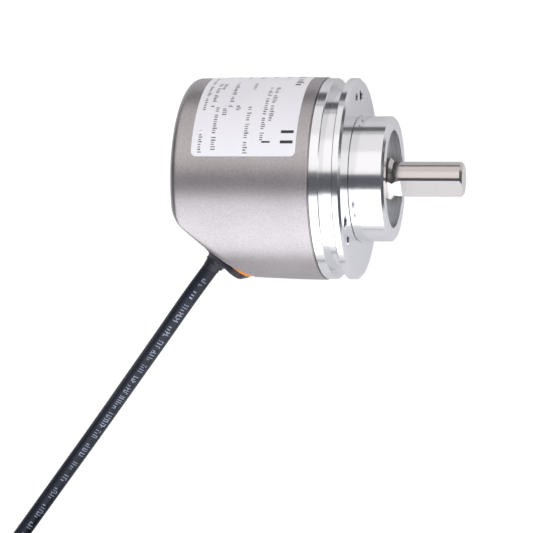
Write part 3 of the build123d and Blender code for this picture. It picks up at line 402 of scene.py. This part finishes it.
def make_floor():
    """Plain white sweep that the encoder and its cable lie on."""
    corners = ((-1, -1), (1, -1), (1, 1), (-1, 1))
    points = [(x * FLOOR_HALF, y * FLOOR_HALF, FLOOR_Z) for x, y in corners]
    floor = bpy.data.objects.new("floor", mesh_from("floor", points, [(0, 1, 2, 3)], False))
    bpy.context.scene.collection.objects.link(floor)
    material = bpy.data.materials.new("floor_white")
    material.use_nodes = True
    tree = material.node_tree
    tree.nodes.clear()
    out = tree.nodes.new("ShaderNodeOutputMaterial")
    seen = tree.nodes.new("ShaderNodeEmission")
    seen.inputs["Color"].default_value = (1, 1, 1, 1)
    seen.inputs["Strength"].default_value = FLOOR_GLOW
    lit = tree.nodes.new("ShaderNodeBsdfDiffuse")
    lit.inputs["Color"].default_value = (0.75, 0.75, 0.76, 1)
    path = tree.nodes.new("ShaderNodeLightPath")
    share = tree.nodes.new("ShaderNodeMath")
    share.operation = "MULTIPLY"
    share.inputs[1].default_value = FLOOR_GLOW_SHARE
    mix = tree.nodes.new("ShaderNodeMixShader")
    tree.links.new(path.outputs["Is Camera Ray"], share.inputs[0])
    tree.links.new(share.outputs[0], mix.inputs["Fac"])
    tree.links.new(lit.outputs[0], mix.inputs[1])
    tree.links.new(seen.outputs[0], mix.inputs[2])
    tree.links.new(mix.outputs[0], out.inputs["Surface"])
    floor.data.materials.append(material)


def make_dark_card():
    """Low dark card beyond the picture, whose reflection edges the bright metal."""
    z = FLOOR_Z + CARD_LIFT
    points = [(-CARD_REACH, CARD_LOW, z), (CARD_REACH, CARD_LOW, z),
              (CARD_REACH, CARD_HIGH, z), (-CARD_REACH, CARD_HIGH, z)]
    card = bpy.data.objects.new("dark_card", mesh_from("dark_card", points, [(0, 1, 2, 3)], False))
    bpy.context.scene.collection.objects.link(card)
    card.data.materials.append(plastic("card_black", (0.03, 0.032, 0.04), (0.04, 0.042, 0.05), 0.7))
    card.visible_camera = False


def soft_box(name, angle, width, power, tint):
    """Area light above the encoder, at an angle from +Z towards +Y, aimed at its axis."""
    data = bpy.data.lights.new(name, "AREA")
    data.shape = "RECTANGLE"
    data.size = BANK_LENGTH
    data.size_y = width
    data.energy = power
    data.color = tint
    lamp = bpy.data.objects.new(name, data)
    a = math.radians(angle)
    back = Vector((0, math.sin(a), math.cos(a)))
    side = Vector((1, 0, 0))
    place = Matrix((side, back.cross(side), back)).transposed().to_4x4()
    place.translation = Vector((BANK_CENTRE_X, 0, 0)) + back * LIGHT_REACH
    lamp.matrix_world = place
    bpy.context.scene.collection.objects.link(lamp)


def make_light():
    """Two banks of soft boxes, with the gap between them where the camera looks through."""
    for name, low, high, power, tint in LIGHT_BANKS:
        half = math.radians(high - low) / 2
        width = 2 * LIGHT_REACH * math.tan(half)
        soft_box(name, (low + high) / 2, width, power * width, tint)
    data = bpy.data.lights.new("shaft_side", "AREA")
    data.shape = "DISK"
    data.size = SIDE_LAMP_SIZE
    data.energy = SIDE_LAMP_POWER
    lamp = bpy.data.objects.new("shaft_side", data)
    away = SIDE_LAMP_AWAY.normalized()
    turn = away.to_track_quat("Z", "Y").to_matrix().to_4x4()
    lamp.matrix_world = Matrix.Translation(away * LIGHT_REACH) @ turn
    bpy.context.scene.collection.objects.link(lamp)
    world = bpy.data.worlds.new("studio")
    bpy.context.scene.world = world
    world.use_nodes = True
    sky = world.node_tree.nodes["Background"]
    sky.inputs["Color"].default_value = WORLD_TINT
    sky.inputs["Strength"].default_value = WORLD_STRENGTH
    bpy.context.scene.view_settings.view_transform = "Standard"


# ------------------------------------------------------------------ cover
COVER_CORNER = 2.5 * MM
COVER_RIM = 0.2 * MM
COVER_DIVISIONS = 288
FACET_SOFTNESS = 1.6 * MM
FACET_SOFT_FROM = 180.0                 # directions between which the soft edge comes and goes
FACET_SOFT_OVER = 30.0
FACET_SHARP_AT = 268.0
FACET_SHARP_OVER = 12.0
TOP_ARC = (8.0 * MM, 180.0, 225.0)      # radius, first and last direction of its normals
BLEND_ARC = (36.0 * MM, 225.0, 237.0)
TOE_ARC = (3.0 * MM, 237.0, 267.4)
BLEND_SHIFT = 9.67 * MM                 # blend centre's place along the facet, from the axis


def facet_arcs():
    """Centres of the arcs that run from the rear face over the 45 degree facet to the underside."""
    half = math.sqrt(0.5)
    top_x = COVER_REAR + TOP_ARC[0]
    top_y = 2 * half * TOP_ARC[0] - FACET_SUM - top_x
    reach = FACET_SUM * half - BLEND_ARC[0]
    blend = Vector((-half, -half)) * reach + Vector((half, -half)) * -BLEND_SHIFT
    turn = math.radians(BLEND_ARC[2])
    toe = blend + Vector((math.cos(turn), math.sin(turn))) * (BLEND_ARC[0] - TOE_ARC[0])
    return [((top_x, top_y), *TOP_ARC), (tuple(blend), *BLEND_ARC), (tuple(toe), *TOE_ARC)]


def past_arc(x, y, arc, inset):
    """Distance outside one arc's part of the corner, and the direction of its normal."""
    (centre_x, centre_y), radius, first, last = arc
    direction = np.degrees(np.arctan2(y - centre_y, x - centre_x)) % 360
    opposite = (first + last) / 2 - 180
    direction = np.where(direction < opposite, direction + 360, direction)
    turn = np.radians(np.clip(direction, first, last))
    reach = (x - centre_x) * np.cos(turn) + (y - centre_y) * np.sin(turn)
    return reach - radius + inset, turn


def trim_to_facet(x, y, inset):
    """Moves points back to the facet where they pass it, with a soft edge all round."""
    found = [past_arc(x, y, arc, inset) for arc in facet_arcs()]
    past = np.array([distance for distance, _ in found])
    turns = np.array([turn for _, turn in found])
    which = past.argmax(axis=0)
    past = np.take_along_axis(past, which[None], 0)[0]
    turn = np.take_along_axis(turns, which[None], 0)[0]
    ease = np.clip((np.degrees(turn) - FACET_SOFT_FROM) / FACET_SOFT_OVER, 0, 1)
    fade = np.clip((FACET_SHARP_AT - np.degrees(turn)) / FACET_SHARP_OVER, 0.02, 1)
    soft = np.maximum(FACET_SOFTNESS * ease * fade, 1e-7)
    back = np.where(past > soft, past, np.where(past < -soft, 0, (past + soft) ** 2 / (4 * soft)))
    return x - back * np.cos(turn), y - back * np.sin(turn)


def cover_profile(inset):
    """Half outline of the can, from its open front to the centre of its rear face."""
    radius = COVER_RADIUS - inset
    rear = COVER_REAR + inset
    corner = COVER_CORNER - inset
    outline = [(COVER_FRONT, radius)]
    if not inset:
        turns = [math.radians(22.5 * step) for step in range(5)]
        outline = [(COVER_FRONT - COVER_RIM * (1 - math.cos(turn)),
                    radius - COVER_RIM * (1 - math.sin(turn))) for turn in turns]
    front = outline[-1][0]
    for step in range(1, 91):
        outline.append((front + (rear + corner - front) * step / 90, radius))
    for step in range(1, 13):
        a = math.radians(7.5 * step)
        outline.append((rear + corner * (1 - math.sin(a)), radius - corner * (1 - math.cos(a))))
    for step in range(1, 60):
        outline.append((rear, (radius - corner) * (1 - step / 60)))
    return outline


def make_cover():
    """Deep-drawn can with its 45 degree corner, as one smooth skin of even thickness."""
    around = COVER_DIVISIONS
    points, faces = [], []
    starts = []
    for inset in (0.0, COVER_WALL):
        outline = cover_profile(inset)
        starts.append((len(points), len(outline)))
        angles = np.arange(around) * 2 * math.pi / around
        for x, radius in outline:
            xs, ys = trim_to_facet(np.full(around, x), radius * np.cos(angles), inset)
            points += [tuple(p) for p in zip(xs, ys, radius * np.sin(angles))]
        points.append((COVER_REAR + inset, 0, 0))
    for start, rows in starts:
        for row in range(rows - 1):
            for place in range(around):
                a = start + row * around + place
                b = start + row * around + (place + 1) % around
                faces.append((a, b, b + around, a + around))
        last = start + (rows - 1) * around
        for place in range(around):
            faces.append((last + place, last + (place + 1) % around, start + rows * around))
    for place in range(around):
        nxt = (place + 1) % around
        faces.append((place, nxt, starts[1][0] + nxt, starts[1][0] + place))
    cover = new_object("cover_can", mesh_from("cover_can", points, faces))
    cover.data.materials.append(COVER_STEEL)
    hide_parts("cover")


# ------------------------------------------------------------------ print on the label
PRINT_LIFT = 0.006 * MM
LABEL_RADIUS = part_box("label")[1].y
PRINT_ROWS = (              # x in millimetres, degrees from the top towards +Y, letter height
    (-40.2, 14, 27, 1.1),
    (-36.4, 15.5, 43, 1.3),
    (-38.1, 43, 44.6, 1.3),
    (-38.1, 47, 67, 1.2),
    (-34.4, 37, 44, 1.3),
    (-33.0, 42.8, 44.4, 1.3),
    (-33.0, 47, 69, 1.2),
    (-30.6, 40.5, 44, 1.3),
    (-27.1, 13.5, 43.7, 1.3),
    (-27.6, 59, 67, 1.2),
    (-22.6, 21, 61, 1.2),
    (-20.7, 33, 61, 1.2),
    (-40.4, 40.6, 77, 1.0),
    (-36.7, 59, 67, 1.1),
    (-37.6, 82, 116, 1.1),
    (-34.9, 82, 104, 1.1),
    (-31.2, 78, 98, 1.1),
    (-27.6, 78, 94, 1.1),
    (-24.0, 80, 110, 1.1),
    (-20.2, 80, 102, 1.1),
)
BOLD_ROWS = ((-15.3, 64, 74, 2.2), (-15.8, 80, 118, 2.8))
PLAIN_BARS = (              # x in millimetres, degrees from the top, length, width
    (-15.4, 26.0, 3.6, 0.9),
    (-15.4, 20.0, 3.6, 0.9),
    (-21.3, 20.0, 2.4, 0.5),
)


class Stencil:
    """Collects thin printed patches on a round surface."""

    def __init__(self):
        self.points = []
        self.faces = []

    def patch(self, corners, place):
        """One four-sided patch, divided along its length so that it follows the curve."""
        (u0, v0), (u1, v1), (u2, v2), (u3, v3) = corners
        first = len(self.points)
        steps = 4
        for step in range(steps + 1):
            t = step / steps
            self.points.append(place(u0 + (u3 - u0) * t, v0 + (v3 - v0) * t))
            self.points.append(place(u1 + (u2 - u1) * t, v1 + (v2 - v1) * t))
        for step in range(steps):
            a = first + 2 * step
            self.faces.append((a, a + 1, a + 3, a + 2))


def on_label(x, degrees_from_top):
    """Point on the label's face."""
    a = math.radians(degrees_from_top)
    radius = LABEL_RADIUS + PRINT_LIFT
    return (x, radius * math.sin(a), radius * math.cos(a))


def print_row(stencil, chance, x, start, end, height, weight=1.0):
    """A word-like run of small upright marks, which stands for a line of type."""
    per_degree = math.radians(1) * LABEL_RADIUS / MM
    at = start
    left_in_word = chance.randint(4, 9)
    while at < end:
        wide = chance.uniform(0.24, 0.42) * weight / per_degree
        if left_in_word == 0:
            at += 0.75 / per_degree
            left_in_word = chance.randint(4, 9)
        tall = height * chance.choice((0.72, 0.72, 1.0))
        low = x - height / 2
        stop = min(at + wide, end)
        foot, head = low * MM, (low + tall) * MM
        stencil.patch([(foot, at), (head, at), (head, stop), (foot, stop)], on_label)
        at += wide + chance.uniform(0.3, 0.5) * weight / per_degree
        left_in_word -= 1


def print_bar(stencil, x, middle, length, width):
    """Plain bar along the axis, its middle at x and degrees from the top."""
    half = width / 2 / (math.radians(1) * LABEL_RADIUS / MM)
    foot, head = (x - length / 2) * MM, (x + length / 2) * MM
    stencil.patch([(foot, middle - half), (head, middle - half),
                   (head, middle + half), (foot, middle + half)], on_label)


def make_label_print():
    """Rows of marks that stand for the type, and plain bars in place of the label's marks."""
    chance = random.Random(58)
    fine = Stencil()
    for row in PRINT_ROWS:
        print_row(fine, chance, *row)
    printed = new_object("label_print", mesh_from("label_print", fine.points, fine.faces, False))
    printed.data.materials.append(INK)
    bold = Stencil()
    for row in BOLD_ROWS:
        print_row(bold, chance, *row, 1.9)
    for bar in PLAIN_BARS:
        print_bar(bold, *bar)
    marks = new_object("label_symbols", mesh_from("label_symbols", bold.points, bold.faces, False))
    marks.data.materials.append(INK_BOLD)


# ------------------------------------------------------------------ cable
CABLE_PRINT_TURN = 30.0     # degrees from the top of the cable
CABLE_PRINT_START = 5.0 * MM
CABLE_PRINT_END = 1.9
CABLE_PRINT_LIFT = 0.01 * MM
CABLE_ROUTE = [             # millimetres: mouth, first corner, then to the floor
    (-43.76, -25.12, 0.0),
    (-47.5, -30.0, -0.1),
    (-53.0, -37.2, -0.8),
    (-62.0, -48.1, -6.0),
    (-75.7, -63.6, -16.0),
    (-88.9, -79.1, -24.3),
    (-102.0, -96.0, -26.9),
    (-117.9, -117.7, -26.9),
]
TAIL_ROUTE = [
    (-82.1, -176.1, -12.0),
    (-66.6, -171.1, -13.5),
    (-52.6, -166.0, -22.0),
    (-41.3, -161.0, -26.8),
    (-31.4, -155.6, -26.9),
]
COIL_CENTRE = ((coil_low + coil_high) / 2).to_2d()
COIL_ENTRY_ANGLE = 143.8
COIL_TURNS = 10.4
COIL_INNER_TURN = 23.4 * MM
COIL_COLUMNS = 3
TURN_POINTS = 20
COIL_TIE = 0.8 * MM
COIL_SLACK = 0.1 * MM


def coil_points():
    """Turns side by side in a layer, each layer a diameter higher and wound back the other way."""
    pitch = 2 * CABLE_RADIUS
    points = []
    for step in range(int(COIL_TURNS * TURN_POINTS) + 1):
        turn = step / TURN_POINTS
        layer = int(turn // COIL_COLUMNS)
        within = turn - layer * COIL_COLUMNS
        column = int(within)
        shift = smooth_step((within - column - 0.5) / 0.25) if column < COIL_COLUMNS - 1 else 0
        rise = smooth_step((within - COIL_COLUMNS + 0.25) / 0.25)
        inward = layer % 2 == 0
        place = column + shift
        radius = COIL_INNER_TURN + pitch * (COIL_COLUMNS - 1 - place if inward else place)
        angle = math.radians(COIL_ENTRY_ANGLE) + 2 * math.pi * turn
        z = FLOOR_Z + COIL_TIE + COIL_SLACK + CABLE_RADIUS + pitch * (layer + rise)
        points.append((COIL_CENTRE.x + radius * math.cos(angle),
                       COIL_CENTRE.y + radius * math.sin(angle), z))
    return points


def cable_points():
    """The whole cable's route, in metres."""
    route = [tuple(c * MM for c in p) for p in CABLE_ROUTE]
    tail = [tuple(c * MM for c in p) for p in TAIL_ROUTE]
    return route + coil_points() + tail


def make_cable():
    """One smooth curve from the outlet through the coil to the stripped end."""
    points = cable_points()
    data = bpy.data.curves.new("cable", "CURVE")
    data.dimensions = "3D"
    data.bevel_depth = 1.0
    data.bevel_resolution = 10
    data.use_fill_caps = True
    data.resolution_u = 8
    spline = data.splines.new("NURBS")
    spline.points.add(len(points) - 1)
    # Each point carries the radius: the box of a curve is its points' box grown by that.
    for point, place in zip(spline.points, points):
        point.co = (*place, 1)
        point.radius = CABLE_RADIUS
    spline.order_u = 3
    spline.use_endpoint_u = True
    spline.use_smooth = True
    cable = new_object("cable", data)
    data.materials.append(JACKET)
    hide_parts("cable_tube", "cable_coil", "cable_tail")
    return cable


# ------------------------------------------------------------------ print on the cable
def line_points(curve_object):
    """Points along a curve object's line, and the distance of each from its start."""
    plain = curve_object.copy()
    plain.data = curve_object.data.copy()
    plain.data.bevel_depth = 0
    mesh = bpy.data.meshes.new_from_object(plain)
    points = [v.co.copy() for v in mesh.vertices]
    bpy.data.objects.remove(plain)
    runs = [0.0]
    for before, after in zip(points, points[1:]):
        runs.append(runs[-1] + (after - before).length)
    return points, runs


def make_cable_print(cable):
    """Pale marks along the jacket that stand for its type line, repeated along the cable."""
    points, runs = line_points(cable)
    chance = random.Random(7)
    stencil = Stencil()
    state = {"at": 0}

    def on_cable(along, across):
        while state["at"] < len(runs) - 2 and runs[state["at"] + 1] < along:
            state["at"] += 1
        while state["at"] > 0 and runs[state["at"]] > along:
            state["at"] -= 1
        i = state["at"]
        way = (points[i + 1] - points[i]).normalized()
        centre = points[i] + way * (along - runs[i])
        side = way.cross(Vector((0, 0, 1))).normalized()
        top = side.cross(way)
        a = math.radians(across)
        out = top * math.cos(a) - side * math.sin(a)
        return tuple(centre + out * (CABLE_RADIUS + CABLE_PRINT_LIFT))

    at = CABLE_PRINT_START
    left_in_word = 3
    while at < CABLE_PRINT_END:
        wide = chance.uniform(0.22, 0.4) * MM
        tall = chance.choice((24, 40, 40))
        low = CABLE_PRINT_TURN - 20
        stencil.patch([(at, low), (at + wide, low),
                       (at + wide, low + tall), (at, low + tall)], on_cable)
        if chance.random() < 0.5:
            level = low + chance.choice((0, 17, 33))
            stencil.patch([(at, level), (at + wide + 0.6 * MM, level),
                           (at + wide + 0.6 * MM, level + 7), (at, level + 7)], on_cable)
        at += wide + chance.uniform(0.5, 0.9) * MM
        left_in_word -= 1
        if left_in_word == 0:
            at += chance.uniform(1.2, 2.4) * MM
            left_in_word = chance.randint(3, 7)
    printed = new_object("cable_print", mesh_from("cable_print", stencil.points, stencil.faces, False))
    printed.data.materials.append(CABLE_INK)
    return printed


# ------------------------------------------------------------------ boot and stripped end
def tube_mesh(name, places, radii, around=40):
    """Closed tube through places with a radius at each, both ends capped."""
    points, faces = [], []
    for index, place in enumerate(places):
        before = places[max(index - 1, 0)]
        after = places[min(index + 1, len(places) - 1)]
        way = (after - before).normalized()
        side = way.cross(Vector((0, 0, 1))).normalized()
        top = side.cross(way)
        for step in range(around):
            a = 2 * math.pi * step / around
            points.append(place + (side * math.cos(a) + top * math.sin(a)) * radii[index])
    for row in range(len(places) - 1):
        for step in range(around):
            a = row * around + step
            b = row * around + (step + 1) % around
            faces.append((a, b, b + around, a + around))
    faces.append(tuple(range(around)))
    faces.append(tuple(range(len(points) - around, len(points))))
    return mesh_from(name, points, faces)


def make_boot():
    """Soft neck of the grommet, which runs down to the cable and turns with it."""
    mouth = Vector(CABLE_ROUTE[0]) * MM
    onward = (Vector(CABLE_ROUTE[1]) * MM - mouth).normalized()
    outward = Vector((-1, -1, 0)).normalized()
    places, radii = [], []
    for step in range(15):
        t = step / 14
        along = (-2.2 + 4.0 * t) * MM
        bent = outward.lerp(onward, smooth_step(t))
        places.append(mouth + (outward if along < 0 else bent) * along)
        radii.append(CABLE_RADIUS + (0.1 + 1.5 * (1 - t) ** 2.2) * MM)
    places.append(places[-1] + onward * 0.12 * MM)
    radii.append(CABLE_RADIUS + 0.02 * MM)
    boot = new_object("grommet_boot", tube_mesh("grommet_boot", places, radii))
    boot.data.materials.append(MOULDING)


LEAD_COLOURS = (
    ("brown", (0.13, 0.05, 0.02)), ("white", (0.8, 0.8, 0.78)), ("green", (0.03, 0.25, 0.07)),
    ("yellow", (0.8, 0.6, 0.03)), ("grey", (0.24, 0.25, 0.27)), ("pink", (0.8, 0.33, 0.4)),
    ("blue", (0.02, 0.09, 0.42)), ("red", (0.55, 0.02, 0.02)),
)
LEAD_LENGTH = 34.0 * MM
LEAD_SPREAD = 2.6 * MM
LEAD_RADIUS = 0.4 * MM
LEAD_DROP = 1.33 * MM
LEAD_STEPS = 12


def make_end_leads():
    """Stripped cores in their colours, fanned out from the jacket's end."""
    end = Vector(TAIL_ROUTE[-1]) * MM
    way = (end - Vector(TAIL_ROUTE[-2]) * MM).normalized()
    side = Vector((-way.y, way.x, 0))
    pieces = []
    for count, (name, colour) in enumerate(LEAD_COLOURS):
        place = count - (len(LEAD_COLOURS) - 1) / 2
        lift = 0.8 * MM if count % 2 else -0.8 * MM
        start = end + side * (0.43 * MM * place) + Vector((0, 0, lift))
        finish = end + way * LEAD_LENGTH + side * (LEAD_SPREAD * place) - Vector((0, 0, LEAD_DROP))
        bow = side * (0.5 * MM * place) + Vector((0, 0, 0.3 * MM))
        shares = [step / LEAD_STEPS for step in range(LEAD_STEPS + 1)]
        places = [start.lerp(finish, t) + bow * math.sin(math.pi * t) * 0.5 for t in shares]
        dark = tuple(c * 0.85 for c in colour)
        tube = tube_mesh("lead_" + name, places, [LEAD_RADIUS] * len(places), 14)
        lead = new_object("lead_" + name, tube)
        lead.data.materials.append(plastic("lead_" + name, dark, colour, 0.4))
        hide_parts("end_leads")
        pieces.append(lead)
    return pieces


INNER_LEAD_ROW = 8 * MM      # half the width of the row of leads at the plug


def colour_inner_leads():
    """The cores inside the cover, coloured one by one across the plug."""
    paint = Paint("inner_lead_colours", (0.5, 0.5, 0.5), 0.0, 0.4)
    split = paint.node("SeparateXYZ")
    paint.link(paint.coords.outputs["Object"], split.inputs[0])
    across = paint.ramp(split.outputs["Z"], -INNER_LEAD_ROW, INNER_LEAD_ROW, 0.0, 1.0)
    bands = paint.node("ValToRGB")
    bands.color_ramp.interpolation = "CONSTANT"
    bands.color_ramp.elements.remove(bands.color_ramp.elements[1])
    for count, (_, colour) in enumerate(LEAD_COLOURS):
        if count == 0:
            stop = bands.color_ramp.elements[0]
        else:
            stop = bands.color_ramp.elements.new(count / len(LEAD_COLOURS))
        stop.color = (*colour, 1)
    paint.link(across, bands.inputs["Fac"])
    paint.link(bands.outputs["Color"], paint.shader.inputs["Base Color"])
    paint.rough(paint.noise(2400), 0.35, 0.45)
    nodes["inner_leads"].data.materials.clear()
    nodes["inner_leads"].data.materials.append(paint.material)


dress_nodes()
colour_inner_leads()
make_camera()
make_floor()
make_dark_card()
make_light()
make_cover()
make_label_print()
cable = make_cable()
cable_print = make_cable_print(cable)
make_boot()
end_leads = make_end_leads()
